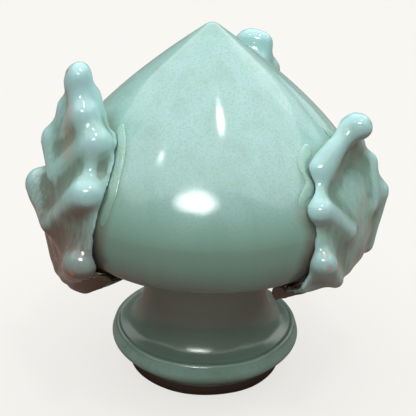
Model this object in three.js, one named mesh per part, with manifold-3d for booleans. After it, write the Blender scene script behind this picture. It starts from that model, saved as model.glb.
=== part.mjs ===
// A ceramic pumo: a glazed flower bud on a flared foot, with three moulded acanthus leaves.
// It is built the way a potter builds it: the bud and the foot are thrown, the leaves are pressed
// in one mould, and clay slip joins them. Millimetres, +Z up. The origin lies on the table, under
// the middle of the object's outline seen from above, and the bare front faces -Y.

import * as THREE from 'three';
import Module from 'manifold-3d';

// The bud, a thrown hollow form with a drawn point. Fullness is 1 for a straight cone, and
// squareness is 2 for a round lower edge.
const BUD_POINT_HEIGHT = 150;
const BUD_UNDERSIDE_HEIGHT = 57;
const BUD_SHOULDER_HEIGHT = 82.2;
const BUD_RADIUS = 64.3;
const BUD_UNDERSIDE_RADIUS = 36;
const BUD_CONE_FULLNESS = 1.477;
const BUD_EDGE_SQUARENESS = 2.72;
const BUD_TIP_RADIUS = 2.2;
const BUD_WALL = 5.5;
const BUD_VENT_RADIUS = 11;

// The foot, a thrown stem that flares into a dished disc on a bare ring
const FOOT_RING_RADIUS = 32.75;
const FOOT_RING_WIDTH = 6.2;
const FOOT_RING_HEIGHT = 5.1;
const FOOT_RING_FLARE = 0.9;
const FOOT_DISC_RADIUS = 40;
const FOOT_DISC_HEIGHT = 11.4;
const FOOT_CREST_RADIUS = 38.7;
const FOOT_CREST_HEIGHT = 18;
const FOOT_DISH_RADIUS = 35;
const FOOT_DISH_HEIGHT = 17.9;
const FOOT_FLARE_RADIUS = 29.6;
const FOOT_FLARE_HEIGHT = 22.5;
const STEM_RADIUS = 25.8;
const STEM_WAIST_HEIGHT = 42;
const STEM_HEAD_RADIUS = 26.8;
const STEM_BORE_RADIUS = 19;
const STEM_BORE_MOUTH_HEIGHT = 34;
const FOOT_VAULT_HEIGHT = 11.5;

// Slip joints. The clay pieces lie this far apart, and beads of slip run along what shows. A leaf's
// beads lie this far outside its margins, and thin out to this share of their size at either end.
const JOINT_GAP = 0.3;
const NECK_SLIP_WIDTH = 3;
const NECK_SLIP_HEIGHT = 2.4;
const LEAF_SLIP_WIDTH = 4;
const LEAF_SLIP_HEIGHT = 1.3;
const LEAF_SLIP_OFFSET = 0.7;
const LEAF_SLIP_END_SHARE = 0.3;
const LEAF_SLIP_END_SQUARENESS = 8;

// The leaf mould, in sections square to the midrib. down is measured along the midrib from the
// arch, where the leaf's upper edge meets the bud: the tongue lies above it, and the flap that
// folds under the bud comes last. tuck is how far the margins fall back towards the bud, and fall
// how late they do: 1 gives a keel and more a flat blade. lift is how far the back stands off the
// bud, and slant is the share of a leaf's skew.
const LEAF_MOULD = [
  { down: -30, halfWidth: 5.8, thickness: 10.5, tuck: 0, fall: 4, lift: 0, slant: 0, squareness: 2 },
  { down: -14, halfWidth: 6.4, thickness: 11.5, tuck: 0, fall: 4, lift: 0, slant: 0, squareness: 2 },
  { down: -6, halfWidth: 7, thickness: 12.5, tuck: 1, fall: 4, lift: 0, slant: 0.5, squareness: 2 },
  { down: 2, halfWidth: 13, thickness: 12, tuck: 8, fall: 4, lift: 0, slant: 1, squareness: 3 },
  { down: 8, halfWidth: 19.5, thickness: 11, tuck: 13, fall: 4, lift: 0, slant: 1, squareness: 4 },
  { down: 16, halfWidth: 25.5, thickness: 10, tuck: 12, fall: 4, lift: 0, slant: 1, squareness: 6 },
  { down: 28, halfWidth: 29.5, thickness: 8, tuck: 8, fall: 4, lift: 0, slant: 1, squareness: 6 },
  { down: 40, halfWidth: 30.5, thickness: 5.5, tuck: 7, fall: 3.4, lift: 1, slant: 0.9, squareness: 6 },
  { down: 52, halfWidth: 28, thickness: 5, tuck: 13, fall: 1.7, lift: 2, slant: 0.45, squareness: 6 },
  { down: 64, halfWidth: 21.5, thickness: 4.4, tuck: 11, fall: 1.4, lift: 2.2, slant: 0.25, squareness: 5 },
  { down: 76, halfWidth: 7, thickness: 3.6, tuck: 1, fall: 1.5, lift: 1, slant: 0, squareness: 5 },
  { down: 90, halfWidth: 9, thickness: 3, tuck: 0, fall: 2, lift: 0, slant: 0, squareness: 5 },
  { down: 106, halfWidth: 10, thickness: 3, tuck: 0, fall: 2, lift: 0, slant: 0, squareness: 5 },
];
// The lobes are tapered rolls of clay with ball ends, the same on both sides of the midrib. Each
// has a radius at its inner end, near the midrib, and one at its outer end, at the margin. The
// middles of its balls stand this share of their radius above the blade's face. The tongue's tip
// is rounded, and bulges by this share of its last step.
const LOBE_RADII = [4.6, 6.6];
const LOBE_STANDS = [-0.3, 0.1];
const MARGIN_THICKNESS = 2.6;
const TONGUE_TIP_RADIUS = 6;
const LEAF_TIP_BULGE = 0.3;
const FLAP_THICKNESS = 3;

// The courses that the leaves take over the bud. Each is the front of the midrib: out is measured
// from the bud's widest radius and up from its underside. The lobes' ends are placed by their
// distance across from the midrib and down from the arch. On the rear side of a leaf some outer
// ends were pushed to another place by hand.
const UPRIGHT = {
  flap: [{ out: -18, up: -10.5 }, { out: -4.5, up: -12.5 }, { out: -1, up: -5 }],
  blade: [{ out: 2, up: 4 }, { out: 4, up: 15 }, { out: 1.6, up: 34 }, { out: -3.6, up: 51.5 }],
  tongue: [{ out: -8, up: 62.5 }, { out: -4.6, up: 71.5 }, { out: -5, up: 83 }],
  lobes: [
    { inner: [1, 4], outer: [6, -5] },
    { inner: [0.5, 20.5], outer: [14.5, 7], rear: [8, 8] },
    { inner: [0.5, 41], outer: [22.5, 26], rear: [21, 28] },
    { inner: [4, 63], outer: [24, 50], rear: [30, 50] },
  ],
};
const CURLED = {
  flap: [{ out: -20, up: -4.5 }, { out: -13.5, up: -10 }, { out: -11, up: -2.5 }],
  blade: [{ out: -8, up: 8 }, { out: -2, up: 18 }, { out: -1.5, up: 34 }, { out: -7, up: 43.5 }],
  tongue: [{ out: -8.5, up: 48 }, { out: -3, up: 54 }, { out: 5, up: 57.5 }],
  lobes: [
    { inner: [6, -5], outer: [14.5, 4], rear: [20, 9] },
    { inner: [12, 29], outer: [24.5, 15.5], rear: [22, 17] },
    { inner: [14, 50], outer: [26, 35.5], rear: [21, 27.5] },
  ],
};
// Each leaf as pressed on by hand: where it stands round the bud, the names of its two sides,
// clockwise first, how many degrees its heel swings, how far one half is pushed up beside the
// other, how high over the bud's underside its arch reaches, how tall its course is, how broad its
// tongue, how thick its blade and how stout its lobes are beside the mould's, how close its margins
// are pressed to the bud, and how far down from the arch its beads of slip begin and end
const LEAVES = [
  {
    side: 'left',
    azimuth: 206,
    margins: ['rear', 'front'],
    swing: 0,
    skew: 0.22,
    arch: 58,
    stature: 1,
    tongueBreadth: 1.18,
    bladeThickness: 1,
    stoutness: 1.1,
    press: 1.1,
    slip: [-3, 40],
    course: UPRIGHT,
  },
  {
    side: 'right',
    azimuth: 333.5,
    margins: ['front', 'rear'],
    swing: -6,
    skew: 0.06,
    arch: 50.5,
    stature: 1,
    tongueBreadth: 0.9,
    bladeThickness: 0.45,
    stoutness: 0.9,
    press: 0.6,
    slip: [-2, 13],
    course: CURLED,
  },
  {
    side: 'back',
    azimuth: 70.5,
    margins: ['right', 'left'],
    swing: 0,
    skew: 0,
    arch: 53,
    stature: 0.925,
    tongueBreadth: 1.65,
    bladeThickness: 1,
    stoutness: 1,
    press: 1,
    slip: [-3, 26],
    course: UPRIGHT,
  },
];

// How finely the curved faces are cut. The spacings are along a leaf's midrib.
const TURNS = 48;
const OUTLINE_STEPS = 9;
const FLAP_SPACING = 5;
const BLADE_SPACING = 3.5;
const TONGUE_SPACING = 3;
const SWING_START = 45;
const FLAP_START = 72;
const TONGUE_START = -8;
const LEAF_TIP_STEPS = 4;
const LEAF_STEPS_FRONT = 14;
const LEAF_STEPS_BACK = 9;
const LOBE_TURNS = 14;
const LOBE_BALL_STEPS = 4;
const COURSE_SAMPLES = 400;
const SLIP_STEPS_ALONG = 16;
const SLIP_STEPS_ACROSS = 6;

const BUD_GLAZE = new THREE.MeshStandardMaterial({ color: 0x83aea6, roughness: 0.12, metalness: 0 });
const LEAF_GLAZE = new THREE.MeshStandardMaterial({ color: 0x86b3ae, roughness: 0.12, metalness: 0 });
const FOOT_GLAZE = new THREE.MeshStandardMaterial({ color: 0x7c9f95, roughness: 0.12, metalness: 0 });
const SLIP_GLAZE = new THREE.MeshStandardMaterial({ color: 0x9cc9ae, roughness: 0.14, metalness: 0 });

const point = (x, y) => new THREE.Vector2(x, y);
const mix = THREE.MathUtils.lerp;

// Outline of the bud: a full cone above the shoulder and a square-cornered bowl below it

function budRadius(height) {
  if (height <= BUD_UNDERSIDE_HEIGHT || height >= BUD_POINT_HEIGHT) {
    return 0;
  }
  if (height >= BUD_SHOULDER_HEIGHT) {
    const rise = (height - BUD_SHOULDER_HEIGHT) / (BUD_POINT_HEIGHT - BUD_SHOULDER_HEIGHT);
    return BUD_RADIUS * (1 - rise ** BUD_CONE_FULLNESS);
  }
  const drop = (BUD_SHOULDER_HEIGHT - height) / (BUD_SHOULDER_HEIGHT - BUD_UNDERSIDE_HEIGHT);
  const share = (1 - drop ** BUD_EDGE_SQUARENESS) ** (1 / BUD_EDGE_SQUARENESS);
  return mix(BUD_UNDERSIDE_RADIUS, BUD_RADIUS, share);
}

// The least radius at which something clears the bud, measured square to its surface
function clearRadius(height, clearance) {
  const step = 0.5;
  const steepest = 2;
  const slope = Math.abs(budRadius(height + step) - budRadius(height)) / step;
  return budRadius(height) + clearance * Math.hypot(1, Math.min(slope, steepest));
}

function budOutside(steps) {
  const outline = [];
  for (let i = 0; i <= steps; i += 1) {
    const angle = (i / steps) * (Math.PI / 2);
    const radius = mix(BUD_UNDERSIDE_RADIUS, BUD_RADIUS, Math.sin(angle) ** (2 / BUD_EDGE_SQUARENESS));
    const share = Math.cos(angle) ** (2 / BUD_EDGE_SQUARENESS);
    outline.push(point(radius, mix(BUD_SHOULDER_HEIGHT, BUD_UNDERSIDE_HEIGHT, share)));
  }
  for (let i = 1; i < steps; i += 1) {
    const height = mix(BUD_SHOULDER_HEIGHT, BUD_POINT_HEIGHT, i / steps);
    outline.push(point(budRadius(height), height));
  }
  return outline;
}

// The wall's inner side, from the floor up to the last point that is clear of the axis
function budInside(steps) {
  const outside = budOutside(steps);
  const floor = BUD_UNDERSIDE_HEIGHT + BUD_WALL;
  const outline = [];
  for (let i = 1; i < outside.length; i += 1) {
    const along = outside[i].clone().sub(outside[i - 1]).normalize();
    const middle = outside[i].clone().add(outside[i - 1]).multiplyScalar(0.5);
    const inner = point(middle.x - along.y * BUD_WALL, middle.y + along.x * BUD_WALL);
    if (inner.y > floor + 1 && inner.x > BUD_WALL) {
      outline.push(inner);
    }
  }
  return outline;
}

// A lathe outline is turned about Y, then stood up along Z
function turned(outline) {
  const geometry = new THREE.LatheGeometry(outline, TURNS);
  geometry.rotateX(Math.PI / 2);
  return geometry;
}

function budGeometry() {
  const floor = BUD_UNDERSIDE_HEIGHT + BUD_WALL;
  const inside = budInside(OUTLINE_STEPS - 2).reverse();
  const crown = inside[0];
  const tip = BUD_POINT_HEIGHT - BUD_TIP_RADIUS / 4;
  return turned([
    point(0, crown.y + crown.x / 2),
    ...inside,
    point(BUD_UNDERSIDE_RADIUS, floor),
    point(BUD_VENT_RADIUS, floor),
    point(BUD_VENT_RADIUS, BUD_UNDERSIDE_HEIGHT),
    ...budOutside(OUTLINE_STEPS),
    point(BUD_TIP_RADIUS / 2, tip),
    point(0, BUD_POINT_HEIGHT),
  ]);
}

function footGeometry() {
  const head = BUD_UNDERSIDE_HEIGHT - JOINT_GAP;
  const ringInside = FOOT_RING_RADIUS - FOOT_RING_WIDTH;
  const glazeEdge = point(FOOT_RING_RADIUS + FOOT_RING_FLARE, FOOT_RING_HEIGHT);
  const disc = new THREE.SplineCurve([
    glazeEdge,
    point(FOOT_DISC_RADIUS, FOOT_DISC_HEIGHT),
    point(FOOT_CREST_RADIUS, FOOT_CREST_HEIGHT),
  ]);
  const trumpet = new THREE.SplineCurve([
    point(FOOT_CREST_RADIUS, FOOT_CREST_HEIGHT),
    point(FOOT_DISH_RADIUS, FOOT_DISH_HEIGHT),
    point(FOOT_FLARE_RADIUS, FOOT_FLARE_HEIGHT),
    point(STEM_RADIUS, STEM_WAIST_HEIGHT),
    point(STEM_HEAD_RADIUS, head),
  ]);
  return turned([
    point(ringInside, 0),
    point(FOOT_RING_RADIUS, 0),
    ...disc.getPoints(OUTLINE_STEPS - 2),
    ...trumpet.getPoints(OUTLINE_STEPS).slice(1),
    point(STEM_BORE_RADIUS, head),
    point(STEM_BORE_RADIUS, STEM_BORE_MOUTH_HEIGHT),
    point(ringInside, FOOT_VAULT_HEIGHT),
    point(ringInside, 0),
  ]);
}

// A ring of slip in the corner between the stem's head and the bud's underside
function neckSlipGeometry() {
  const inner = STEM_HEAD_RADIUS + JOINT_GAP;
  const outer = inner + NECK_SLIP_WIDTH;
  const top = BUD_UNDERSIDE_HEIGHT - JOINT_GAP;
  const bottom = top - NECK_SLIP_HEIGHT;
  const fillet = new THREE.QuadraticBezierCurve(
    point(inner, bottom),
    point(mix(inner, outer, 0.75), mix(bottom, top, 0.25)),
    point(outer, top),
  );
  return turned([...fillet.getPoints(4), point(inner, top), point(inner, bottom)]);
}

// The leaf

const MOULD_FIELDS = ['halfWidth', 'thickness', 'tuck', 'fall', 'lift', 'slant', 'squareness'];
const mould = new THREE.CubicInterpolant(
  LEAF_MOULD.map((section) => section.down),
  LEAF_MOULD.flatMap((section) => MOULD_FIELDS.map((field) => section[field])),
  MOULD_FIELDS.length,
  new Float32Array(MOULD_FIELDS.length),
);

function mouldAt(down) {
  const values = mould.evaluate(down);
  return Object.fromEntries(MOULD_FIELDS.map((field, i) => [field, values[i]]));
}

const UP = new THREE.Vector3(0, 0, 1);

// A closed skin over rows of points, each row a ring, with a point that closes either end
function skin(rows, startPole, endPole) {
  const points = [...rows.flat(), startPole, endPole];
  const around = rows[0].length;
  const last = rows.length - 1;
  const at = (row, i) => row * around + (i % around);
  const faces = [];
  for (let i = 0; i < around; i += 1) {
    for (let row = 0; row < last; row += 1) {
      faces.push(at(row, i), at(row + 1, i), at(row + 1, i + 1));
      faces.push(at(row, i), at(row + 1, i + 1), at(row, i + 1));
    }
    faces.push(points.length - 2, at(0, i), at(0, i + 1));
    faces.push(points.length - 1, at(last, i + 1), at(last, i));
  }
  const geometry = new THREE.BufferGeometry().setFromPoints(points);
  geometry.setIndex(faces);
  return geometry;
}

function middleOf(row) {
  return row.reduce((sum, place) => sum.add(place), new THREE.Vector3()).divideScalar(row.length);
}

// The front of a leaf's midrib as a curve of radius and height, from the flap's end to the tip,
// and how far along it the arch is
function leafCourse(leaf) {
  const flapEnd = {
    out: STEM_HEAD_RADIUS + NECK_SLIP_WIDTH + 2 * JOINT_GAP - BUD_RADIUS,
    up: -FLAP_THICKNESS - JOINT_GAP,
  };
  const { flap, blade, tongue } = leaf.course;
  const standing = [...blade, ...tongue].map(({ out, up }) => ({ out, up: up * leaf.stature }));
  const curve = new THREE.SplineCurve(
    [flapEnd, ...flap, ...standing].map(({ out, up }) => (
      point(BUD_RADIUS + out, BUD_UNDERSIDE_HEIGHT + up)
    )),
  );
  const length = curve.getLength();
  const samples = curve.getSpacedPoints(COURSE_SAMPLES);
  const arch = samples.findIndex(({ y }) => y >= BUD_UNDERSIDE_HEIGHT + leaf.arch);
  return { curve, length, archAt: (length * arch) / COURSE_SAMPLES };
}

// The leaf's section at a place along its midrib
function stationAt(leaf, course, along, scale) {
  const place = course.curve.getPointAt(along / course.length);
  const tangent = course.curve.getTangentAt(along / course.length);
  const down = course.archAt - along;
  const section = mouldAt(down);
  const tongueShare = THREE.MathUtils.smoothstep(-down, 0, TONGUE_TIP_RADIUS);
  section.halfWidth *= mix(1, leaf.tongueBreadth, tongueShare);
  section.thickness *= mix(leaf.bladeThickness, 1, tongueShare);
  return { place, facing: point(tangent.y, -tangent.x), down, scale, ...section };
}

// The stations of a leaf, from the flap's end to the tongue's tip
function leafStations(leaf, course) {
  const tipStart = course.length - TONGUE_TIP_RADIUS;
  const stations = [];
  let from = 0;
  for (const [spacing, to] of [
    [FLAP_SPACING, course.archAt - FLAP_START],
    [BLADE_SPACING, course.archAt - TONGUE_START],
    [TONGUE_SPACING, tipStart],
  ]) {
    const steps = Math.ceil((to - from) / spacing);
    for (let i = 0; i < steps; i += 1) {
      stations.push(stationAt(leaf, course, mix(from, to, i / steps), 1));
    }
    from = to;
  }
  for (let i = 0; i < LEAF_TIP_STEPS; i += 1) {
    const angle = (i / LEAF_TIP_STEPS) * (Math.PI / 2);
    const along = tipStart + TONGUE_TIP_RADIUS * Math.sin(angle);
    stations.push(stationAt(leaf, course, along, Math.cos(angle)));
  }
  return stations;
}

// A place on the face or back of a leaf's blade. across runs from -1 to 1, margin to margin.
function onBlade(leaf, station, across, front) {
  const { place, facing, down, scale, halfWidth, thickness, tuck, fall, lift, slant, squareness } = station;
  const edge = Math.abs(across);
  const body = Math.sqrt(Math.max(1 - edge ** squareness, 0));
  const side = halfWidth * across * scale;
  const half = (thickness / 2) * body * scale;
  const depth = (front ? half : -half) - thickness / 2;
  const height = place.y + facing.y * depth + leaf.skew * side * slant;
  const seat = JOINT_GAP + Math.max(lift, 0) / leaf.press;
  const clearance = seat + (front ? MARGIN_THICKNESS * body * scale : 0);
  const reach = place.x + facing.x * depth - tuck * leaf.press * edge ** fall;
  const radius = Math.max(reach, clearRadius(height, clearance));
  const heelShare = THREE.MathUtils.smoothstep(down, SWING_START, FLAP_START);
  const turn = side / place.x + THREE.MathUtils.degToRad(leaf.swing) * heelShare;
  return new THREE.Vector3(radius * Math.cos(turn), radius * Math.sin(turn), height);
}

// The blade with its tongue: rings from one margin over the face to the other and back behind it
function bladeGeometry(leaf, course) {
  const ring = [];
  for (let i = 0; i <= LEAF_STEPS_FRONT; i += 1) {
    ring.push({ share: i / LEAF_STEPS_FRONT, front: true });
  }
  for (let i = LEAF_STEPS_BACK - 1; i > 0; i -= 1) {
    ring.push({ share: i / LEAF_STEPS_BACK, front: false });
  }
  const rows = leafStations(leaf, course).map((station) => ring.map(({ share, front }) => {
    const across = mix(1 - 2 * share, Math.cos(Math.PI * share), 0.5);
    return onBlade(leaf, station, across, front);
  }));
  const tipRow = rows[rows.length - 1];
  const tipRun = middleOf(tipRow).sub(middleOf(rows[rows.length - 2]));
  const tip = middleOf(tipRow).addScaledVector(tipRun, LEAF_TIP_BULGE);
  return skin(rows, middleOf(rows[0]), tip);
}

// The ends of a lobe: where their balls have their middles, their radii, and how far the leaf
// stands off the bud there
function lobeEnds(leaf, course, lobe, sign) {
  const margin = leaf.margins[sign < 0 ? 0 : 1];
  const outer = (margin === 'rear' && lobe.rear) || lobe.outer;
  return [lobe.inner, outer].map(([aside, down], i) => {
    const station = stationAt(leaf, course, course.archAt - down, 1);
    const beyond = Math.max(aside - station.halfWidth, 0);
    const middle = onBlade(leaf, station, (sign * (aside - beyond)) / station.halfWidth, true);
    middle.applyAxisAngle(UP, (sign * beyond) / station.place.x);
    const radius = LOBE_RADII[i] * leaf.stoutness;
    const outward = new THREE.Vector3(middle.x, middle.y, 0).normalize();
    middle.addScaledVector(outward, LOBE_STANDS[i] * radius);
    return { middle, radius, lift: Math.max(station.lift, 0) };
  });
}

// A tapered roll of clay with a ball at either end
function rollGeometry([start, end]) {
  const axis = end.middle.clone().sub(start.middle).normalize();
  const turn = new THREE.Quaternion().setFromUnitVectors(UP, axis);
  const rows = [];
  for (const [{ middle, radius }, side] of [[start, -1], [end, 1]]) {
    const balls = [];
    for (let i = 1; i <= LOBE_BALL_STEPS; i += 1) {
      const angle = (i / LOBE_BALL_STEPS) * (Math.PI / 2);
      balls.push(Array.from({ length: LOBE_TURNS }, (_, j) => {
        const round = (j / LOBE_TURNS) * 2 * Math.PI;
        const across = radius * Math.sin(angle);
        const place = new THREE.Vector3(Math.cos(round), Math.sin(round), 0).multiplyScalar(across);
        place.z = side * radius * Math.cos(angle);
        return place.applyQuaternion(turn).add(middle);
      }));
    }
    rows.push(...(side < 0 ? balls : balls.reverse()));
  }
  return skin(
    rows.map((row) => row.reverse()),
    start.middle.clone().addScaledVector(axis, -start.radius),
    end.middle.clone().addScaledVector(axis, end.radius),
  );
}

// The bud's outside grown by a clearance, to cut what must stand clear of it
function clearedBud(clearance) {
  const rows = budOutside(OUTLINE_STEPS).map(({ y }) => {
    const radius = clearRadius(y, clearance) / Math.cos(Math.PI / TURNS);
    return Array.from({ length: TURNS }, (_, i) => {
      const turn = (-i / TURNS) * 2 * Math.PI;
      return new THREE.Vector3(radius * Math.cos(turn), radius * Math.sin(turn), y);
    });
  });
  const below = new THREE.Vector3(0, 0, BUD_UNDERSIDE_HEIGHT - clearance);
  return skin(rows, below, new THREE.Vector3(0, 0, BUD_POINT_HEIGHT + clearance));
}

// A place on the bud's surface, a little way above it
function onBud(turn, height, above) {
  const radius = budRadius(height) + above;
  return new THREE.Vector3(radius * Math.cos(turn), radius * Math.sin(turn), height);
}

// The middle of a bead of slip, up along one margin of a leaf and round the ends of its lobes
function slipCourse(leaf, course, sign) {
  const ends = leaf.course.lobes.map((lobe) => lobeEnds(leaf, course, lobe, sign)[1]);
  const [top, bottom] = leaf.slip;
  const beside = leafStations(leaf, course).filter(({ down }) => down > top && down < bottom);
  return new THREE.CatmullRomCurve3(beside.map((station) => {
    const margin = onBlade(leaf, station, sign, true);
    const radius = Math.hypot(margin.x, margin.y);
    let aside = sign * Math.atan2(margin.y, margin.x) * radius;
    for (const end of ends) {
      const endAside = sign * Math.atan2(end.middle.y, end.middle.x) * radius;
      const above = Math.hypot(end.middle.x, end.middle.y) - budRadius(margin.z) - LEAF_SLIP_HEIGHT;
      const chord = end.radius ** 2 - (end.middle.z - margin.z) ** 2 - above ** 2;
      if (chord > 0) {
        aside = Math.max(aside, endAside + Math.sqrt(chord));
      }
    }
    return onBud((sign * (aside + LEAF_SLIP_OFFSET)) / radius, margin.z, 0);
  }));
}

// A half-round bead of slip laid on the bud
function beadGeometry(course) {
  const rows = [];
  for (let i = 0; i <= SLIP_STEPS_ALONG; i += 1) {
    const share = i / SLIP_STEPS_ALONG;
    const place = course.getPointAt(share);
    const turn = Math.atan2(place.y, place.x);
    const outward = new THREE.Vector3(Math.cos(turn), Math.sin(turn), 0);
    const slope = (budRadius(place.z - 1) - budRadius(place.z + 1)) / 2;
    const normal = outward.clone().addScaledVector(UP, slope).normalize();
    const aside = course.getTangentAt(share).cross(normal).normalize();
    const base = onBud(turn, place.z, JOINT_GAP * Math.hypot(1, slope));
    const fullness = Math.sqrt(1 - Math.abs(2 * share - 1) ** LEAF_SLIP_END_SQUARENESS);
    const size = mix(LEAF_SLIP_END_SHARE, 1, fullness);
    rows.push(Array.from({ length: SLIP_STEPS_ACROSS + 1 }, (_, j) => {
      const angle = (j / SLIP_STEPS_ACROSS) * Math.PI;
      const shift = (LEAF_SLIP_WIDTH / 2) * Math.cos(angle) * size;
      const rise = LEAF_SLIP_HEIGHT * Math.sin(angle) * size;
      return base.clone().addScaledVector(aside, shift).addScaledVector(normal, rise);
    }));
  }
  return skin(rows, middleOf(rows[0]), middleOf(rows[rows.length - 1]));
}

// Solids are cut with the manifold library and come back as plain geometry

const manifold = await Module();
manifold.setup();

function solid(geometry) {
  return new manifold.Manifold(new manifold.Mesh({
    numProp: 3,
    vertProperties: new Float32Array(geometry.attributes.position.array),
    triVerts: new Uint32Array(geometry.index.array),
  }));
}

// A manifold body as plain geometry
function plain(body) {
  const { vertProperties, triVerts } = body.getMesh();
  const geometry = new THREE.BufferGeometry();
  geometry.setAttribute('position', new THREE.BufferAttribute(vertProperties, 3));
  geometry.setIndex(new THREE.BufferAttribute(triVerts, 1));
  return geometry;
}

// A whole leaf: its blade, and on it the lobes, cut to stand clear of the bud
function leafSolid(leaf, course) {
  let body = solid(bladeGeometry(leaf, course));
  for (const lobe of leaf.course.lobes) {
    for (const sign of [-1, 1]) {
      const ends = lobeEnds(leaf, course, lobe, sign);
      const clearance = 2 * JOINT_GAP + ends[1].lift;
      body = body.add(solid(rollGeometry(ends)).subtract(solid(clearedBud(clearance))));
    }
  }
  return body;
}

// The bead of slip along one margin, cut by the leaf where it stands and a joint's gap to each side
function leafSlipSolid(leaf, course, leafBody, sign) {
  let bead = solid(beadGeometry(slipCourse(leaf, course, sign)));
  const shifts = [[0, 0, 0]];
  for (const gap of [-JOINT_GAP, JOINT_GAP]) {
    shifts.push([gap, 0, 0], [0, gap, 0], [0, 0, gap]);
  }
  for (const shift of shifts) {
    bead = bead.subtract(leafBody.translate(shift));
  }
  return bead.decompose().sort((a, b) => b.volume() - a.volume())[0];
}

function mesh(name, geometry, material) {
  const piece = new THREE.Mesh(geometry, material);
  piece.name = name;
  return piece;
}

const pumo = new THREE.Group();
pumo.add(mesh('bud', budGeometry(), BUD_GLAZE));
pumo.add(mesh('foot', footGeometry(), FOOT_GLAZE));
pumo.add(mesh('neck_slip', neckSlipGeometry(), SLIP_GLAZE));
for (const leaf of LEAVES) {
  const course = leafCourse(leaf);
  const body = leafSolid(leaf, course);
  const pressed = new THREE.Group();
  pressed.add(mesh(`leaf_${leaf.side}`, plain(body), LEAF_GLAZE));
  leaf.margins.forEach((margin, i) => {
    const bead = leafSlipSolid(leaf, course, body, 2 * i - 1);
    pressed.add(mesh(`leaf_slip_${leaf.side}_${margin}`, plain(bead), SLIP_GLAZE));
  });
  pressed.rotation.z = THREE.MathUtils.degToRad(leaf.azimuth);
  pumo.add(pressed);
}

// The three leaves reach out unevenly, so the turned axis stands beside the middle of the whole
const outline = new THREE.Box3().setFromObject(pumo, true);
const middle = outline.getCenter(new THREE.Vector3());
pumo.position.set(-middle.x, -middle.y, 0);

const group = new THREE.Group();
group.add(pumo);

export default group;
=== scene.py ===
# A glazed ceramic pumo, finished from its CAD frame. The bud and the foot are thrown again with
# more turns and a potter's unevenness, the leaves and the slip are softened as wet clay softens,
# and every piece gets its glaze. Metres, +Z up, on the frame's own origin.

import math

import bmesh
import bpy
from bpy.props import FloatProperty, FloatVectorProperty, IntProperty, PointerProperty
from mathutils import Matrix, Vector, noise
from mathutils.bvhtree import BVHTree


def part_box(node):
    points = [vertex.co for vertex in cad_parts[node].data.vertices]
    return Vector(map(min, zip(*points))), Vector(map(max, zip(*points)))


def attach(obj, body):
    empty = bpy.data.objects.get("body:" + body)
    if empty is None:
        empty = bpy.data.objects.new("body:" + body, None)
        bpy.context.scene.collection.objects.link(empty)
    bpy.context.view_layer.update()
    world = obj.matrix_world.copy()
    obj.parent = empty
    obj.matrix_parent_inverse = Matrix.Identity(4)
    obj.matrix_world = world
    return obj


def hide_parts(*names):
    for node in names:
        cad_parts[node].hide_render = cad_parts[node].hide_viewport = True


bl_info = {
    "name": "Ceramic pumo",
    "version": (1, 0, 0),
    "blender": (4, 5, 0),
    "location": "3D View > Sidebar > Pumo",
    "description": "Throws, presses and glazes a ceramic pumo on its CAD frame",
    "category": "Add Mesh",
}

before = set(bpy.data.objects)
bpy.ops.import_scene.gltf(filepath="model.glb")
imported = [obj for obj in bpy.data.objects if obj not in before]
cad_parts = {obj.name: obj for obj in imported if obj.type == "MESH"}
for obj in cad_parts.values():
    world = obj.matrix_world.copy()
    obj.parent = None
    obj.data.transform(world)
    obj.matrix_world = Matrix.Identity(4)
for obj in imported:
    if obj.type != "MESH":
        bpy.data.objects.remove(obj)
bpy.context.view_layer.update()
MILLIMETRE = 0.001
SAME_PLACE = 1e-6

FOOT_LOW, FOOT_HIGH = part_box("foot")
BUD_LOW, BUD_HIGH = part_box("bud")
AXIS = Vector(((FOOT_LOW.x + FOOT_HIGH.x) / 2, (FOOT_LOW.y + FOOT_HIGH.y) / 2, 0))
BUD_MIDDLE = AXIS + Vector((0, 0, 0.09))
LEAVES = ("leaf_left", "leaf_right", "leaf_back")
LEAF_SLIPS = tuple(node for node in sorted(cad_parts) if node.startswith("leaf_slip"))


# The sizes and colours that a user would change


class BudShape(bpy.types.PropertyGroup):
    point_height: FloatProperty(
        name="Point height",
        description="Height of the drawn point above the table",
        default=BUD_HIGH.z,
        unit="LENGTH",
    )
    shoulder_height: FloatProperty(
        name="Shoulder height",
        description="Height at which the bud is widest",
        default=0.0822,
        unit="LENGTH",
    )
    underside_height: FloatProperty(
        name="Underside height",
        description="Height of the flat underside above the table",
        default=BUD_LOW.z,
        unit="LENGTH",
    )
    radius: FloatProperty(
        name="Radius",
        description="Radius of the shoulder",
        default=0.0643,
        unit="LENGTH",
    )
    underside_radius: FloatProperty(
        name="Underside radius",
        description="Radius at which the round lower edge meets the flat underside",
        default=0.036,
        unit="LENGTH",
    )
    fullness: FloatProperty(
        name="Cone fullness",
        description="1 is a straight cone, and more swells it",
        default=1.477,
    )
    squareness: FloatProperty(
        name="Edge squareness",
        description="2 is a round lower edge, and more squares it",
        default=2.72,
    )
    tip_radius: FloatProperty(
        name="Tip radius",
        description="Radius to which a wet finger rounds the drawn point",
        default=0.0045,
        unit="LENGTH",
    )
    wall: FloatProperty(
        name="Wall",
        description="Thickness of the thrown wall",
        default=0.0055,
        unit="LENGTH",
    )
    vent_radius: FloatProperty(
        name="Vent radius",
        description="Radius of the vent in the underside",
        default=0.011,
        unit="LENGTH",
    )
    unevenness: FloatProperty(
        name="Unevenness",
        description="How far a hand-trimmed wall wanders from a true turning",
        default=0.00035,
        unit="LENGTH",
    )


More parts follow.
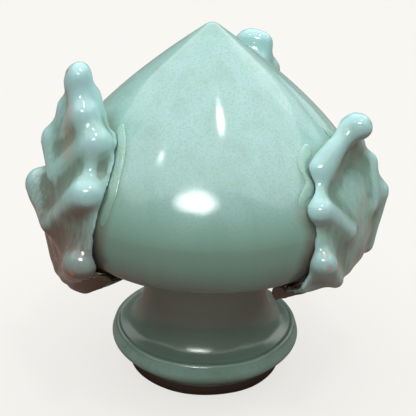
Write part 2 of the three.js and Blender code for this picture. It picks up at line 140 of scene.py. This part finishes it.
class FootShape(bpy.types.PropertyGroup):
    ring_radius: FloatProperty(
        name="Ring radius",
        description="Outer radius of the bare ring that stands on the table",
        default=0.03275,
        unit="LENGTH",
    )
    ring_width: FloatProperty(
        name="Ring width",
        description="Width of the bare ring",
        default=0.0062,
        unit="LENGTH",
    )
    ring_height: FloatProperty(
        name="Ring height",
        description="Height at which the glaze ends",
        default=0.0051,
        unit="LENGTH",
    )
    unevenness: FloatProperty(
        name="Unevenness",
        description="How far the disc's crest wanders from a true turning",
        default=0.0003,
        unit="LENGTH",
    )


class ClayFinish(bpy.types.PropertyGroup):
    grain: FloatProperty(
        name="Grain",
        description="Edge of the cubes in which pressed clay is remade",
        default=0.0007,
        unit="LENGTH",
        precision=5,
    )
    rounds: IntProperty(
        name="Smoothing rounds",
        description="How often pressed clay is smoothed with a wet finger",
        default=22,
    )
    fill: FloatProperty(
        name="Fill",
        description="Radius to which a finger fills the grooves between a leaf's lobes",
        default=0.0064,
        unit="LENGTH",
        precision=5,
    )
    lumps: FloatProperty(
        name="Lumps",
        description="Height of the lumps that fingers leave in pressed clay",
        default=0.0006,
        unit="LENGTH",
        precision=5,
    )


class GlazeColours(bpy.types.PropertyGroup):
    turquoise: FloatVectorProperty(
        name="Turquoise",
        description="The glaze where it lies even",
        default=(0.37, 0.62, 0.58),
        subtype="COLOR",
    )
    # Pale is also the painted light towards the leaves' tips.
    pale: FloatVectorProperty(
        name="Pale turquoise",
        description="The glaze on ridges and upper faces",
        default=(0.46, 0.76, 0.78),
        subtype="COLOR",
    )
    # Green also stands in for painted shade low on the bud and the slip, and in the foot's dish.
    green: FloatVectorProperty(
        name="Pooled green",
        description="The glaze where it pools",
        default=(0.19, 0.34, 0.27),
        subtype="COLOR",
    )
    slip: FloatVectorProperty(
        name="Slip green",
        description="The yellower green of the glaze over the slip",
        default=(0.33, 0.50, 0.33),
        subtype="COLOR",
    )
    # Brown is also painted shade on the leaves, the bud and the foot, and a painted reflection of a
    # brown table at the bud's edge and up the stem.
    brown: FloatVectorProperty(
        name="Thin brown",
        description="The clay showing through thin glaze",
        default=(0.17, 0.12, 0.095),
        subtype="COLOR",
    )
    clay: FloatVectorProperty(
        name="Bare clay",
        description="The fired clay in chips",
        default=(0.52, 0.24, 0.15),
        subtype="COLOR",
    )
    # The bare ring is unglazed clay darkened with painted shade under the disc, and the same dark colour
    # is the painted shade on the leaves' flaps under the bud.
    ring: FloatVectorProperty(
        name="Bare ring",
        description="The stained, unglazed ring of the foot",
        default=(0.095, 0.062, 0.040),
        subtype="COLOR",
    )


class PumoSettings(bpy.types.PropertyGroup):
    bud: PointerProperty(type=BudShape)
    foot: PointerProperty(type=FootShape)
    clay: PointerProperty(type=ClayFinish)
    colours: PointerProperty(type=GlazeColours)


# Shader maths


class Signal:
    """The output of a node, so that shader maths is written as an expression."""

    def __init__(self, nodes, socket):
        self.nodes = nodes
        self.socket = socket

    def maths(self, operation, *values):
        return self.nodes.node("ShaderNodeMath", {"operation": operation}, dict(enumerate(values)))

    def __add__(self, other):
        return self.maths("ADD", self, other)

    def __radd__(self, other):
        return self.maths("ADD", other, self)

    def __sub__(self, other):
        return self.maths("SUBTRACT", self, other)

    def __rsub__(self, other):
        return self.maths("SUBTRACT", other, self)

    def __mul__(self, other):
        return self.maths("MULTIPLY", self, other)

    def __rmul__(self, other):
        return self.maths("MULTIPLY", other, self)

    def between(self, low, high):
        """0 below low, 1 above high and a smooth step between them, or the reverse if low is higher."""
        values = {"Value": self, "From Min": low, "From Max": high}
        return self.nodes.node("ShaderNodeMapRange", {"interpolation_type": "SMOOTHSTEP"}, values)


class Nodes:
    """A tree of nodes, and the ways to add to it."""

    def __init__(self, tree):
        self.tree = tree

    def node(self, kind, settings=None, values=None, output=0):
        """Adds a node, gives it its settings and then its values or links, and returns an output."""
        made = self.tree.nodes.new(kind)
        for name, setting in (settings or {}).items():
            setattr(made, name, setting)
        for key, value in (values or {}).items():
            self.feed(made.inputs[key], value)
        return Signal(self, made.outputs[output])

    def feed(self, socket, value):
        if isinstance(value, Signal):
            self.tree.links.new(value.socket, socket)
        elif socket.type == "RGBA":
            socket.default_value = (*value, 1)
        else:
            socket.default_value = value

    def mix(self, share, first, second):
        """The first colour, with a share of the second one over it."""
        values = {"Factor": share, 6: first, 7: second}
        return self.node("ShaderNodeMix", {"data_type": "RGBA"}, values, output=2)


class Finish(Nodes):
    """A glaze or a paint: one material, and the patterns that it is made of."""

    def __init__(self, name):
        self.material = bpy.data.materials.new(name)
        self.material.use_nodes = True
        super().__init__(self.material.node_tree)
        self.shader = self.tree.nodes["Principled BSDF"]
        self.place = self.node("ShaderNodeTexCoord", output="Object")

    def set(self, **values):
        """Feeds the shader's own sockets, by their names with underscores."""
        for name, value in values.items():
            self.feed(self.shader.inputs[name.replace("_", " ").title()], value)

    def noise(self, size, detail=2.0, stretch=(1, 1, 1), roughness=0.5):
        """Soft noise whose features are about size metres wide, times the stretch along each axis."""
        scale = Vector(1 / (size * s) for s in stretch)
        settings = {"vector_type": "POINT"}
        place = self.node("ShaderNodeMapping", settings, {"Vector": self.place, "Scale": scale})
        values = {"Vector": place, "Scale": 1, "Detail": detail, "Roughness": roughness}
        return self.node("ShaderNodeTexNoise", None, values)

    def grain(self, size=0.0009, roughness=0.7):
        """The fine grain that all the glaze has."""
        return self.noise(size, detail=3, roughness=roughness)

    def attribute(self, name):
        """A value that modelling stored on the piece's vertices."""
        return self.node("ShaderNodeAttribute", {"attribute_name": name}, output="Fac")

    def height(self):
        """Height over the table."""
        return self.node("ShaderNodeSeparateXYZ", None, {0: self.place}, output="Z")

    def fired(self):
        """1 on the left side, which gets painted shade, darker and browner, and 0 on the other."""
        side = self.node("ShaderNodeSeparateXYZ", None, {0: self.place}, output="X")
        return side.between(*SHADED_SIDE)

    def underside(self):
        """Painted shade: 1 where the surface faces down, which is shaded, and 0 where it faces up or
        out.
        """
        normal = self.node("ShaderNodeTexCoord", output="Normal")
        facing = self.node("ShaderNodeSeparateXYZ", None, {0: normal}, output="Z")
        return facing.between(*FACING_DOWN)

    def near(self, centre, radius, core=0.2):
        """1 within the core share of a radius from a place on the piece, falling to 0 at the radius."""
        settings = {"operation": "DISTANCE"}
        away = self.node("ShaderNodeVectorMath", settings, {0: self.place, 1: centre}, output="Value")
        return away.between(radius, radius * core)

    def bump(self, height, distance, strength=1.0, under=None):
        values = {"Strength": strength, "Distance": distance, "Height": height}
        if under:
            values["Normal"] = under
        return self.node("ShaderNodeBump", None, values)


# Modelling


def new_object(name, mesh, node, finish):
    """Puts a finished mesh in the scene in place of a node of the frame."""
    piece = bpy.data.objects.new(name, mesh)
    bpy.context.scene.collection.objects.link(piece)
    mesh.materials.clear()
    mesh.materials.append(finish)
    mesh.shade_smooth()
    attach(piece, "root")
    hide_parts(node)
    return piece


def thrown_mesh(name, outline, turns, wander):
    """Turns a closed outline of (radius, height) pairs round the axis, and lets each point wander."""
    shape = bmesh.new()
    ring = [shape.verts.new((AXIS.x + radius, AXIS.y, height)) for radius, height in outline]
    edges = [shape.edges.new(pair) for pair in zip(ring, ring[1:] + ring[:1])]
    bmesh.ops.spin(
        shape,
        geom=ring + edges,
        cent=AXIS,
        axis=(0, 0, 1),
        angle=2 * math.pi,
        steps=turns,
        use_merge=True,
    )
    bmesh.ops.remove_doubles(shape, verts=shape.verts, dist=SAME_PLACE)
    bmesh.ops.recalc_face_normals(shape, faces=shape.faces)
    for vertex in shape.verts:
        out = Vector((vertex.co.x - AXIS.x, vertex.co.y - AXIS.y, 0))
        if out.length > 0:
            vertex.co += out.normalized() * wander(out, vertex.co.z)
    mesh = bpy.data.meshes.new(name)
    shape.to_mesh(mesh)
    shape.free()
    return mesh


def wave(turn, height, waves_round, waves_up):
    """Soft noise on a thrown form, in a direction from its axis and at a height."""
    return noise.noise(Vector((turn.x * waves_round, turn.y * waves_round, height * waves_up)))


def smooth_run(points, steps):
    """Points along a smooth curve through the given ones."""
    run = []
    for i in range(len(points) - 1):
        before = Vector(points[max(i - 1, 0)])
        start = Vector(points[i])
        end = Vector(points[i + 1])
        after = Vector(points[min(i + 2, len(points) - 1)])
        for k in range(steps):
            t = k / steps
            leaving = (end - before) / 2
            arriving = (after - start) / 2
            run.append(
                start
                + leaving * t
                + (3 * (end - start) - 2 * leaving - arriving) * t**2
                + (2 * (start - end) + leaving + arriving) * t**3
            )
    run.append(Vector(points[-1]))
    return [tuple(point) for point in run]


def softened(name, node, grain, rounds, fill, swell=0):
    """Copies a node's mesh, remakes it in even clay, fills its narrow grooves and smooths it."""
    shape = bmesh.new()
    shape.from_mesh(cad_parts[node].data)
    bmesh.ops.remove_doubles(shape, verts=shape.verts, dist=SAME_PLACE)
    mesh = bpy.data.meshes.new(name)
    shape.to_mesh(mesh)
    shape.free()
    clay = bpy.data.objects.new(name, mesh)
    bpy.context.scene.collection.objects.link(clay)
    for grown in (0, fill + swell, -fill):
        moved = clay.modifiers.new("moved", "DISPLACE")
        moved.strength = grown
        moved.mid_level = 0
        remade = clay.modifiers.new("remade", "REMESH")
        remade.mode = "VOXEL"
        remade.voxel_size = grain
    wiped = clay.modifiers.new("wiped", "SMOOTH")
    wiped.factor = 0.5
    wiped.iterations = rounds
    soft = bpy.data.meshes.new_from_object(clay.evaluated_get(bpy.context.evaluated_depsgraph_get()))
    bpy.data.objects.remove(clay)
    bpy.data.meshes.remove(mesh)
    return soft


def add_relief(mesh, rounds):
    """Stores how far each vertex stands above its smoothed surroundings, in millimetres, as relief."""
    shape = bmesh.new()
    shape.from_mesh(mesh)
    shape.normal_update()
    stands = [(vertex.co.copy(), vertex.normal.copy()) for vertex in shape.verts]
    for _ in range(rounds):
        bmesh.ops.smooth_vert(
            shape,
            verts=shape.verts,
            factor=0.5,
            use_axis_x=True,
            use_axis_y=True,
            use_axis_z=True,
        )
    relief = mesh.attributes.new("relief", "FLOAT", "POINT")
    for vertex, (place, normal), entry in zip(shape.verts, stands, relief.data):
        entry.value = (place - vertex.co).dot(normal) / MILLIMETRE
    shape.free()


def add_lumps(mesh, height, size):
    """Presses soft hollows of about a size in the clay, as fingers leave them."""
    shape = bmesh.new()
    shape.from_mesh(mesh)
    shape.normal_update()
    for vertex in shape.verts:
        vertex.co += vertex.normal * (noise.noise(vertex.co / size) * height - height / 2)
    shape.to_mesh(mesh)
    shape.free()


def add_shelter(mesh, reach):
    """Stores how close each vertex stands to a leaf: 1 where they touch, 0 at a reach from it."""
    shape = bmesh.new()
    for node in LEAVES:
        shape.from_mesh(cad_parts[node].data)
    leaves = BVHTree.FromBMesh(shape)
    shape.free()
    shelter = mesh.attributes.new("shelter", "FLOAT", "POINT")
    for vertex, entry in zip(mesh.vertices, shelter.data):
        away = leaves.find_nearest(vertex.co)[3]
        entry.value = max(1 - away / reach, 0)


def press_on(mesh, bud, share, sink):
    """Presses a bead of slip on the bud's outside to a share of its height, and sinks it a little."""
    for vertex in mesh.vertices:
        out = Vector((vertex.co.x - AXIS.x, vertex.co.y - AXIS.y, 0))
        over = out.length - bud_radius(bud, vertex.co.z)
        vertex.co -= out.normalized() * (over * (1 - share) + sink)


# The finishes. Each pair is where a change of the glaze, or of the painted light and shade in it,
# begins and where it is complete: the side in metres from the middle, the upward part of the direction
# that a surface faces, and the rest in metres over the table.

# The side that gets painted shade, in metres from the middle
SHADED_SIDE = (0.02, -0.06)
FACING_DOWN = (0.05, -0.45)
BUD_GREENS_AND_SHADE = (0.112, 0.084)
BUD_BROWNS = (0.086, 0.066)
CREVICE_SHADE_GROWS = (0.100, 0.074)
SLIP_GREENS_AND_SHADE = (0.112, 0.084)
DISH_BEGINS = (0.0166, 0.0185)
STEM_SHADE_BROWNS = (0.020, 0.034)
DISH_DULLS = (0.030, 0.024)
LEAF_TIP_LIGHT = (0.112, 0.134)
LEAF_LOW_SHADE = (0.100, 0.068)
LEAF_HEEL_SHADE = (0.063, 0.055)

GLASS_IOR = 1.52
PEEL_SIZE = 0.0032
PEEL_DEPTH = 0.00006
GRAIN_DEPTH = 0.00002


def glaze(finish, colour, gloss, grain):
    """The shared surface of all the glaze: a coat with a fine grain and a slight orange peel."""
    peel = finish.noise(PEEL_SIZE, detail=1)
    fine = finish.bump(grain, GRAIN_DEPTH, 0.35)
    finish.set(
        base_color=colour,
        roughness=gloss + grain * 0.05,
        normal=finish.bump(peel, PEEL_DEPTH, 0.5, under=fine),
    )
    finish.shader.inputs["IOR"].default_value = GLASS_IOR
    return finish.material


def bud_glaze(colours):
    """Clouded turquoise with a greenish grain. Lower down it is greener and darker, partly painted
    shade; the lower edge is brown from thin glaze, with a painted reflection of a brown table; the left
    side and the bud beside the leaves get painted shade.
    """
    finish = Finish("bud_glaze")
    height = finish.height()
    grain = finish.grain(0.0008, 0.75)
    cloud = finish.noise(0.02, detail=3)
    streak = finish.noise(0.007, detail=3, stretch=(1, 1, 6))
    base = finish.mix(0.15 + cloud.between(0.3, 0.7) * 0.35, colours.turquoise, colours.pale)
    base = finish.mix(streak.between(0.45, 0.75) * 0.22, base, colours.green)
    base = finish.mix(grain.between(0.45, 0.65) * 0.58, base, colours.slip)
    # Painted shade: the left side greener and darker.
    base = finish.mix(finish.fired() * 0.26, base, colours.green)
    # Lower down the glaze is greener and darker: partly its own colour, partly painted shade.
    low = (height + cloud * 0.006).between(*BUD_GREENS_AND_SHADE)
    base = finish.mix(low * 0.80, base, colours.green)
    # Brown at the lower edge: thin glaze, partly a painted reflection of a brown table, with painted
    # shade on the left.
    rim = (height + cloud * 0.010 + streak * 0.006).between(*BUD_BROWNS)
    base = finish.mix(rim * (0.40 + finish.fired() * 0.55), base, colours.brown)
    # Beside the leaves the glaze pools greener over the slip higher up, and painted shade, in brown,
    # darkens the bud there, most of all lower down.
    pooled_and_shade = (finish.attribute("shelter") + (cloud - 0.5) * 0.3).between(0.15, 0.95)
    lower_shade = height.between(*CREVICE_SHADE_GROWS)
    base = finish.mix(pooled_and_shade * (1 - lower_shade) * 0.5, base, colours.slip)
    base = finish.mix(pooled_and_shade * (0.2 + lower_shade * 0.65), base, colours.brown)
    return glaze(finish, base, 0.09, grain)


def foot_glaze(colours, ring_height):
    """Speckled grey-green, with painted shade in the dish, and painted shade and a painted reflection of
    a brown table browning the stem, over a bare ring dark with painted shade.
    """
    finish = Finish("foot_glaze")
    height = finish.height()
    grain = finish.grain()
    cloud = finish.noise(0.012, detail=3)
    speck = finish.noise(0.0016, detail=2).between(0.5, 0.72)
    base = finish.mix(0.25 + cloud.between(0.35, 0.7) * 0.4, colours.turquoise, colours.green)
    base = finish.mix(speck * 0.25, base, colours.green)
    dish = height.between(*DISH_BEGINS)
    # Painted shade: the dish under the bud a darker green.
    base = finish.mix(0.32 + dish * 0.45, base, colours.green)
    # A little brown all over, more in the dish and most up the stem: painted shade under the bud and a
    # painted reflection of a brown table.
    stem = height.between(*STEM_SHADE_BROWNS)
    base = finish.mix(0.10 + dish * 0.18 + stem * 0.36, base, colours.brown)
    # The bare ring: unglazed clay, darkened with painted shade under the disc.
    edge = (height + cloud * 0.0016).between(ring_height + 0.0016, ring_height + 0.0004)
    base = finish.mix(edge, base, colours.ring)
    material = glaze(finish, base, 0.09, grain)
    finish.set(roughness=0.09 + edge * 0.7 + dish * height.between(*DISH_DULLS) * 0.12)
    return material


# Where the glaze of the leaves is chipped or worn: the place, the radius, and how bare the clay is
CHIPS = (
    ((-0.0526, -0.0287, 0.1360), 0.0021, 1.0),
    ((-0.0493, -0.0591, 0.0680), 0.0020, 1.0),
    ((-0.0515, -0.0364, 0.1226), 0.0060, 0.35),
    ((-0.0521, -0.0364, 0.1155), 0.0060, 0.35),
    ((-0.0520, -0.0390, 0.1087), 0.0060, 0.3),
    ((0.0440, -0.0595, 0.0782), 0.0022, 0.4),
    ((0.0456, -0.0617, 0.0740), 0.0022, 0.4),
)


# The flaps under the bud get painted shade, as dark as the bare ring: within this radius of the middle
# of its underside, and wholly within this share of it
FLAP_SHADE_REACH = 0.061
FLAP_SHADE_CORE = 0.87


def leaf_glaze(colours):
    """Pale on ridges, green in hollows and bare clay in the chips, with painted light on the tips and
    painted shade, in brown, in the deepest hollows, on faces that look down and low down, more on the
    left, and dark on the flaps under the bud.
    """
    finish = Finish("leaf_glaze")
    relief = finish.attribute("relief")
    grain = finish.grain()
    cloud = finish.noise(0.010, detail=3)
    streak = finish.noise(0.0016, detail=3, stretch=(1, 1, 5))
    wander = (cloud - 0.5) * 0.2 + (streak - 0.5) * 0.25
    height = finish.height() + wander * 0.05
    base = finish.mix(cloud.between(0.45, 0.75) * 0.4, colours.turquoise, colours.green)
    base = finish.mix(grain.between(0.45, 0.65) * 0.45, base, colours.slip)
    ridge = (relief + wander).between(0.05, 0.42)
    base = finish.mix(ridge * 0.7, base, colours.pale)
    hollow = (relief + wander).between(0.08, -0.16)
    base = finish.mix(hollow * 0.85, base, colours.green)
    # Painted light: the leaves paler towards their tips.
    base = finish.mix(height.between(*LEAF_TIP_LIGHT) * 0.85, base, colours.pale)
    # Painted shade: brown in the deepest hollows, more on the left.
    deep_shade = (relief + wander).between(-0.02, -0.22)
    base = finish.mix(deep_shade * (0.15 + finish.fired() * 0.15), base, colours.brown)
    # Painted shade, in brown, on faces that look down, more on the left.
    below = finish.underside() * (0.45 + finish.fired() * 0.40)
    base = finish.mix(below, base, colours.brown)
    # Painted shade: browner towards the bottom of the leaves, less on ridges, most on the left.
    low = height.between(*LEAF_LOW_SHADE) * (1 - ridge * 0.3)
    base = finish.mix(low * (0.20 + finish.fired() * 0.75), base, colours.brown)
    # Painted shade: browner still at the lowest parts of the leaves, most on the left.
    heel_shade = height.between(*LEAF_HEEL_SHADE)
    base = finish.mix(heel_shade * (0.15 + finish.fired() * 0.65), base, colours.brown)
    # Painted shade: the flaps tucked under the bud nearly as dark as the bare ring.
    flap_shade = finish.near(AXIS + Vector((0, 0, BUD_LOW.z)), FLAP_SHADE_REACH, FLAP_SHADE_CORE)
    base = finish.mix(flap_shade * 0.95, base, colours.ring)
    worn = (relief + wander).between(0.5, 0.8) * cloud.between(0.66, 0.72)
    base = finish.mix(worn * 0.25, base, colours.clay)
    bare = 0
    for centre, radius, depth in CHIPS:
        ragged = finish.near(centre, radius) * streak.between(0.30, 0.45) * depth
        bare = ragged + bare
        base = finish.mix(ragged, base, colours.clay)
    material = glaze(finish, base, 0.08, grain)
    finish.set(roughness=0.08 + bare * 0.5)
    return material


def slip_glaze(colours):
    """The bud's glaze, a little greener where it pools over the slip, and greener and darker lower down,
    partly painted shade.
    """
    finish = Finish("slip_glaze")
    grain = finish.grain()
    cloud = finish.noise(0.006, detail=3)
    base = finish.mix(0.15 + cloud.between(0.3, 0.7) * 0.35, colours.turquoise, colours.pale)
    base = finish.mix(0.30 + grain.between(0.45, 0.65) * 0.45, base, colours.slip)
    # Lower down the glaze is greener and darker: partly its own colour, partly painted shade.
    base = finish.mix(finish.height().between(*SLIP_GREENS_AND_SHADE) * 0.80, base, colours.green)
    return glaze(finish, base, 0.08, grain)


# The pieces


def bud_radius(bud, height):
    """Radius of the bud's outside at a height."""
    if height >= bud.shoulder_height:
        rise = (height - bud.shoulder_height) / (bud.point_height - bud.shoulder_height)
        return bud.radius * (1 - rise**bud.fullness)
    drop = (bud.shoulder_height - height) / (bud.shoulder_height - bud.underside_height)
    share = max(1 - drop**bud.squareness, 0) ** (1 / bud.squareness)
    return bud.underside_radius + (bud.radius - bud.underside_radius) * share


def rounded_tip(outside, radius):
    """Ends an outline that rises to the axis in a round cap instead of a point."""
    (low_r, low_h), (high_r, high_h) = outside[-2:]
    slope = math.atan2(high_h - low_h, low_r - high_r)
    top = high_h + high_r * math.tan(slope)
    centre = top - radius / math.cos(slope)
    kept = [(r, h) for r, h in outside if r > radius * math.sin(slope)]
    cap_steps = 10
    for i in range(cap_steps + 1):
        angle = slope * (1 - i / cap_steps)
        kept.append((radius * math.sin(angle), centre + radius * math.cos(angle)))
    return kept


class PUMO_OT_bud(bpy.types.Operator):
    """Throw the bud: a hollow form with a drawn point and a vent in its flat underside"""

    bl_idname = "pumo.bud"
    bl_label = "Bud"

    def execute(self, context):
        bud = context.scene.pumo.bud
        outside = []
        edge_steps = 40
        for i in range(edge_steps + 1):
            angle = i / edge_steps * math.pi / 2
            share = math.cos(angle) ** (2 / bud.squareness)
            height = bud.shoulder_height + (bud.underside_height - bud.shoulder_height) * share
            radius = math.sin(angle) ** (2 / bud.squareness)
            outside.append((bud.underside_radius + (bud.radius - bud.underside_radius) * radius, height))
        cone_steps = 90
        cone_height = bud.point_height - bud.shoulder_height
        for i in range(1, cone_steps):
            height = bud.shoulder_height + cone_height * i / cone_steps
            outside.append((bud_radius(bud, height), height))
        inside = [(r - bud.wall, h) for r, h in outside if r > bud.wall * 3 and h > bud.shoulder_height]
        outside = rounded_tip(outside, bud.tip_radius)
        floor = bud.underside_height + bud.wall
        crown = inside[-1]
        hollow_top = crown[1] + crown[0] / 2
        outline = [(0, hollow_top), *reversed(inside)]
        outline += [(bud.underside_radius, floor), (bud.vent_radius, floor)]
        outline += [(bud.vent_radius, bud.underside_height), *outside]

        true_point = 0.012

        def wander(out, height):
            turn = out.normalized()
            fade = min((bud.point_height - height) / true_point, 1)
            facets = wave(turn, height, waves_round=2.1, waves_up=9)
            ripples = wave(turn, height, waves_round=6, waves_up=22)
            return (facets + ripples * 0.35 - 0.6) * bud.unevenness * fade

        mesh = thrown_mesh("bud_thrown", outline, turns=240, wander=wander)
        add_shelter(mesh, reach=0.007)
        new_object("bud_thrown", mesh, "bud", bud_glaze(context.scene.pumo.colours))
        return {"FINISHED"}


class PUMO_OT_foot(bpy.types.Operator):
    """Throw the foot: a bare ring, a dished disc and a flared stem"""

    bl_idname = "pumo.foot"
    bl_label = "Foot"

    def execute(self, context):
        foot = context.scene.pumo.foot
        head = FOOT_HIGH.z
        inner = foot.ring_radius - foot.ring_width
        bore = 0.019
        bore_low = 0.034
        hollow_high = 0.0115
        glaze_lip = 0.0009
        curve_steps = 8

        # Radius and height of the places that the outside passes, from the ring up
        disc = [(foot.ring_radius + glaze_lip, foot.ring_height), (0.04, 0.0114), (0.0395, 0.0163)]
        crest = [(0.0387, 0.0178), (0.0377, 0.0182), (0.036, 0.018)]
        flare = [(0.0321, 0.0198), (0.0288, 0.025), (0.0266, 0.0328), (0.0258, 0.042), (0.0268, head)]
        outside = smooth_run(disc + crest + flare, curve_steps)
        outline = [(inner, 0), (foot.ring_radius, 0), *outside]
        outline += [(bore, head), (bore, bore_low), (inner, hollow_high)]

        def wander(out, height):
            bend = wave(out.normalized(), height, waves_round=1.7, waves_up=30)
            return (bend - 0.5) * foot.unevenness

        mesh = thrown_mesh("foot_thrown", outline, turns=160, wander=wander)
        colours = context.scene.pumo.colours
        new_object("foot_thrown", mesh, "foot", foot_glaze(colours, foot.ring_height))
        return {"FINISHED"}


class PUMO_OT_slip(bpy.types.Operator):
    """Run the slip along the joints, and soften it with a wet finger"""

    bl_idname = "pumo.slip"
    bl_label = "Slip"

    def execute(self, context):
        finish = slip_glaze(context.scene.pumo.colours)
        for node in ("neck_slip", *LEAF_SLIPS):
            mesh = softened(f"{node}_run", node, grain=0.0003, rounds=10, fill=0.0008, swell=0.0007)
            if node in LEAF_SLIPS:
                press_on(mesh, context.scene.pumo.bud, share=0.35, sink=0.0003)
            new_object(f"{node}_run", mesh, node, finish)
        return {"FINISHED"}


class PUMO_OT_leaves(bpy.types.Operator):
    """Press the three leaves, and soften them with a wet finger"""

    bl_idname = "pumo.leaves"
    bl_label = "Leaves"

    def execute(self, context):
        clay = context.scene.pumo.clay
        finish = leaf_glaze(context.scene.pumo.colours)
        for node in LEAVES:
            mesh = softened(f"{node}_pressed", node, clay.grain, clay.rounds, clay.fill)
            add_relief(mesh, rounds=40)
            add_lumps(mesh, clay.lumps, size=0.009)
            new_object(f"{node}_pressed", mesh, node, finish)
        return {"FINISHED"}


# The stage. The camera sees a pale backdrop, and the glaze mirrors a dim room and a brown table.

BACKDROP = (0.896, 0.888, 0.855)
FLOOR_PAINT = (0.88, 0.87, 0.84)
ROOM = (0.075, 0.068, 0.062)
TABLE = (0.24, 0.17, 0.14)
FLOOR_REACH = 6
FLOOR_DROP = 0.0001
EVEN_FLOOR_SHARE = 0.8
LAMP_DISTANCE = 1.2


def area_lamp(name, place, facing, size, radiance, seen="both", shape="RECTANGLE"):
    """A lamp at a place from the bud's middle, its power worked out from its brightness.

    It is seen both, or only mirrored in the glaze, or only in how surfaces are lit.
    """
    lamp = bpy.data.lights.new(name, "AREA")
    lamp.shape = shape
    lamp.size, lamp.size_y = size
    lamp.energy = radiance * math.pi * lamp.size * lamp.size_y
    holder = bpy.data.objects.new(name, lamp)
    holder.visible_diffuse = seen != "mirrored"
    holder.visible_glossy = seen != "lit"
    holder.visible_camera = False
    holder.location = BUD_MIDDLE + place
    holder.rotation_euler = facing.to_track_quat("-Z", "Y").to_euler()
    bpy.context.scene.collection.objects.link(holder)


def aimed_lamp(
    name,
    azimuth,
    elevation,
    size,
    radiance,
    seen="both",
    shape="RECTANGLE",
    distance=LAMP_DISTANCE,
):
    """A lamp that faces the bud's middle from a direction, in degrees."""
    turn = math.radians(azimuth)
    rise = math.radians(elevation)
    way = Vector((math.cos(turn) * math.cos(rise), math.sin(turn) * math.cos(rise), math.sin(rise)))
    area_lamp(name, way * distance, -way, size, radiance, seen, shape)


class PUMO_OT_stage(bpy.types.Operator):
    """Set the floor, the soft lamps and the camera at the photograph's viewing angle"""

    bl_idname = "pumo.stage"
    bl_label = "Stage"

    def execute(self, context):
        scene = context.scene
        scene.view_settings.view_transform = "Standard"

        shape = bmesh.new()
        bmesh.ops.create_grid(shape, x_segments=1, y_segments=1, size=FLOOR_REACH)
        mesh = bpy.data.meshes.new("floor")
        shape.to_mesh(mesh)
        shape.free()
        floor = bpy.data.objects.new("floor", mesh)
        floor.location = (0, 0, -FLOOR_DROP)
        scene.collection.objects.link(floor)
        finish = Finish("floor_paint")
        path = finish.node("ShaderNodeLightPath", output="Is Camera Ray")
        finish.set(base_color=finish.mix(path, TABLE, FLOOR_PAINT), roughness=0.9)
        shown = finish.node("ShaderNodeEmission", None, {"Color": BACKDROP, "Strength": 1.0})
        lit = Signal(finish, finish.shader.outputs[0])
        share = path * EVEN_FLOOR_SHARE
        blend = finish.node("ShaderNodeMixShader", None, {0: share, 1: lit, 2: shown})
        finish.tree.links.new(blend.socket, finish.tree.nodes["Material Output"].inputs["Surface"])
        mesh.materials.append(finish.material)

        above = Vector((0, 0.55, 1.1))
        down = Vector((0, 0, -1))
        area_lamp("ceiling", above, down, size=(3.4, 2.9), radiance=1.6)
        aimed_lamp("fill_front", -95, 15, size=(1.6, 1.2), radiance=0.85, seen="lit", distance=1.5)

        # The large highlight fades towards its rim: four ovals, each behind a larger one, add up
        for ring, share in enumerate((1.0, 0.8, 0.6, 0.42)):
            aimed_lamp(
                f"soft_front_{ring}",
                azimuth=-99,
                elevation=44,
                size=(0.60 * share, 0.27 * share),
                radiance=6,
                seen="mirrored",
                shape="ELLIPSE",
                distance=LAMP_DISTANCE + ring * 0.002,
            )
        aimed_lamp("small_top", -62, 72, size=(0.12, 0.12), radiance=45)
        aimed_lamp("small_left", -151, 53, size=(0.05, 0.05), radiance=40)
        aimed_lamp("window_right", 48, 30, size=(0.6, 0.6), radiance=0.9, seen="mirrored")
        aimed_lamp("window_low", 56, 7, size=(0.25, 0.2), radiance=0.9, seen="mirrored")

        world = bpy.data.worlds.new("studio")
        world.use_nodes = True
        air = Nodes(world.node_tree)
        path = air.node("ShaderNodeLightPath", output="Is Camera Ray")
        background = air.tree.nodes["Background"]
        air.feed(background.inputs["Color"], air.mix(path, ROOM, BACKDROP))
        scene.world = world

        # The camera was fitted to the outlines of the bud and the foot, in millimetres and pixels
        distance = 399.987 * MILLIMETRE
        rise = 256.236 * MILLIMETRE
        focal_pixels = 1064.826
        image_pixels = 416
        pitch = 0.435
        roll = 0.024
        forward = Vector((0, math.cos(pitch), -math.sin(pitch)))
        level = forward.cross(Vector((0, 0, 1))).normalized()
        up = level.cross(forward)
        right = math.cos(roll) * level + math.sin(roll) * up
        top = math.cos(roll) * up - math.sin(roll) * level
        data = bpy.data.cameras.new("camera")
        data.sensor_width = 36
        data.lens = focal_pixels / image_pixels * data.sensor_width
        data.clip_start = 0.01
        data.clip_end = 50
        camera = bpy.data.objects.new("camera", data)
        camera.matrix_world = Matrix.Translation((AXIS.x, AXIS.y - distance, rise)) @ Matrix(
            (right, top, -forward)
        ).transposed().to_4x4()
        scene.collection.objects.link(camera)
        scene.camera = camera
        return {"FINISHED"}


class PUMO_PT_panel(bpy.types.Panel):
    """Lists the pumo's pieces, sizes and colours"""

    bl_idname = "PUMO_PT_panel"
    bl_label = "Ceramic pumo"
    bl_space_type = "VIEW_3D"
    bl_region_type = "UI"
    bl_category = "Pumo"

    def draw(self, context):
        settings = context.scene.pumo
        for operator in OPERATORS:
            self.layout.operator(operator.bl_idname)
        for group in (settings.bud, settings.foot, settings.clay, settings.colours):
            box = self.layout.box()
            for name in group.__annotations__:
                box.prop(group, name)


GROUPS = (BudShape, FootShape, ClayFinish, GlazeColours, PumoSettings)
OPERATORS = (PUMO_OT_bud, PUMO_OT_foot, PUMO_OT_slip, PUMO_OT_leaves, PUMO_OT_stage)


def register():
    for kind in (*GROUPS, *OPERATORS, PUMO_PT_panel):
        bpy.utils.register_class(kind)
    bpy.types.Scene.pumo = PointerProperty(type=PumoSettings)


def unregister():
    del bpy.types.Scene.pumo
    for kind in reversed((*GROUPS, *OPERATORS, PUMO_PT_panel)):
        bpy.utils.unregister_class(kind)


def main():
    register()
    bpy.ops.pumo.bud()
    bpy.ops.pumo.foot()
    bpy.ops.pumo.slip()
    bpy.ops.pumo.leaves()
    bpy.ops.pumo.stage()


if __name__ == "__main__":
    main()
